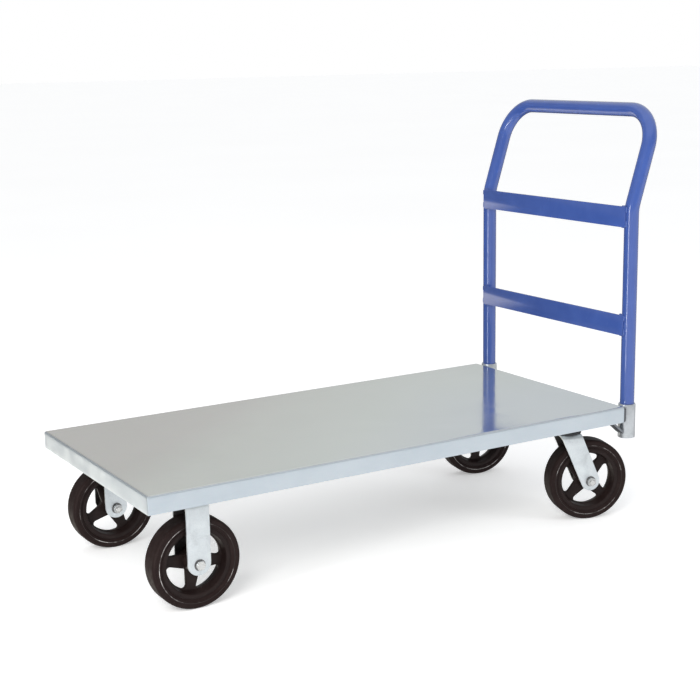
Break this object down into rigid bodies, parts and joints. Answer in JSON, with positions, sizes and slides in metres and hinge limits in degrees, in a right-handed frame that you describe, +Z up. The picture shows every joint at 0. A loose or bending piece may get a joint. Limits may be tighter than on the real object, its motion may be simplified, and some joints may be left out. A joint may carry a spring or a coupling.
{
  "type": "flatbed platform truck",
  "caption": "Flatbed platform truck: folded steel deck on rigid and swivel casters with spoked rubber-tyred wheels, and a lift-out tube handle with cross braces.",
  "frame": {"origin": "on the floor, under the middle of the whole truck's bounding box", "axes": "+X along the deck towards the handle, +Y to the operator's right-hand side as seen facing the deck from the handle, +Z up"},
  "size_m": [1.3898, 0.61, 1.0199],
  "materials": {
    "deck_sheet": "glossy light grey galvanised sheet",
    "channel_steel": "light grey galvanised steel",
    "socket_steel": "light grey galvanised pipe",
    "blue_enamel": "gloss blue enamel",
    "caster_zinc": "mottled pale zinc plate",
    "bright_zinc": "bright zinc plated fasteners",
    "bearing_steel": "ground steel",
    "nipple_steel": "plated steel",
    "iron_core": "dark painted cast iron",
    "rubber_tyre": "black moulded rubber"
  },
  "bodies": {
    "chassis": {"deck_pan": "deck_sheet", "rigid_end_channel": "channel_steel", "mid_channel": "channel_steel", "swivel_end_channel": "channel_steel", "socket_pads": "socket_steel", "left_socket": "socket_steel", "right_socket": "socket_steel", "socket_stops": "socket_steel", "socket_gussets": "socket_steel", "caster_bolts": "bright_zinc", "caster_lock_washers": "bright_zinc", "caster_nuts": "bright_zinc", "rigid_top_plates": "caster_zinc", "left_rigid_yoke": "caster_zinc", "right_rigid_yoke": "caster_zinc", "rigid_axle_bolts": "bright_zinc", "rigid_axle_nuts": "bright_zinc", "rigid_axle_sleeves": "bearing_steel", "rigid_thrust_washers": "bearing_steel", "swivel_top_plates": "caster_zinc", "upper_races": "caster_zinc", "kingpins": "bright_zinc", "king_washers": "bright_zinc", "king_nuts": "bright_zinc"},
    "handle": {"handle_hoop": "blue_enamel", "lower_brace": "blue_enamel", "upper_brace": "blue_enamel"},
    "left_swivel": {"left_swivel_fork": "caster_zinc", "left_lower_race": "caster_zinc", "left_race_balls": "bearing_steel", "left_swivel_axle_bolt": "bright_zinc", "left_swivel_axle_nut": "bright_zinc", "left_swivel_axle_sleeve": "bearing_steel", "left_swivel_thrust_washers": "bearing_steel"},
    "right_swivel": {"right_swivel_fork": "caster_zinc", "right_lower_race": "caster_zinc", "right_race_balls": "bearing_steel", "right_swivel_axle_bolt": "bright_zinc", "right_swivel_axle_nut": "bright_zinc", "right_swivel_axle_sleeve": "bearing_steel", "right_swivel_thrust_washers": "bearing_steel"},
    "left_rigid_wheel": {"left_rigid_core": "iron_core", "left_rigid_tyre": "rubber_tyre", "left_rigid_bearing": "bearing_steel", "left_rigid_grease_nipple": "nipple_steel"},
    "right_rigid_wheel": {"right_rigid_core": "iron_core", "right_rigid_tyre": "rubber_tyre", "right_rigid_bearing": "bearing_steel", "right_rigid_grease_nipple": "nipple_steel"},
    "left_swivel_wheel": {"left_swivel_core": "iron_core", "left_swivel_tyre": "rubber_tyre", "left_swivel_bearing": "bearing_steel", "left_swivel_grease_nipple": "nipple_steel"},
    "right_swivel_wheel": {"right_swivel_core": "iron_core", "right_swivel_tyre": "rubber_tyre", "right_swivel_bearing": "bearing_steel", "right_swivel_grease_nipple": "nipple_steel"}
  },
  "joints": [
    {"name": "handle_lift", "type": "slide", "parent": "chassis", "child": "handle", "axis": [0, 0, 1], "range_m": [0, 0.13]},
    {"name": "left_rigid_spin", "type": "hinge", "parent": "chassis", "child": "left_rigid_wheel", "pos_m": [-0.56693, -0.2286, 0.1016], "axis": [0, 1, 0], "continuous": true},
    {"name": "right_rigid_spin", "type": "hinge", "parent": "chassis", "child": "right_rigid_wheel", "pos_m": [-0.56693, 0.2286, 0.1016], "axis": [0, 1, 0], "continuous": true},
    {"name": "left_swivel_turn", "type": "hinge", "parent": "chassis", "child": "left_swivel", "pos_m": [0.45607, -0.2286, 0.24], "axis": [0, 0, 1], "continuous": true},
    {"name": "right_swivel_turn", "type": "hinge", "parent": "chassis", "child": "right_swivel", "pos_m": [0.45607, 0.2286, 0.24], "axis": [0, 0, 1], "continuous": true},
    {"name": "left_swivel_spin", "type": "hinge", "parent": "left_swivel", "child": "left_swivel_wheel", "pos_m": [0.5047, -0.24394, 0.1016], "axis": [0.3007, 0.9537, 0], "continuous": true},
    {"name": "right_swivel_spin", "type": "hinge", "parent": "right_swivel", "child": "right_swivel_wheel", "pos_m": [0.50621, 0.21931, 0.1016], "axis": [0.1822, 0.9833, 0], "continuous": true}
  ]
}
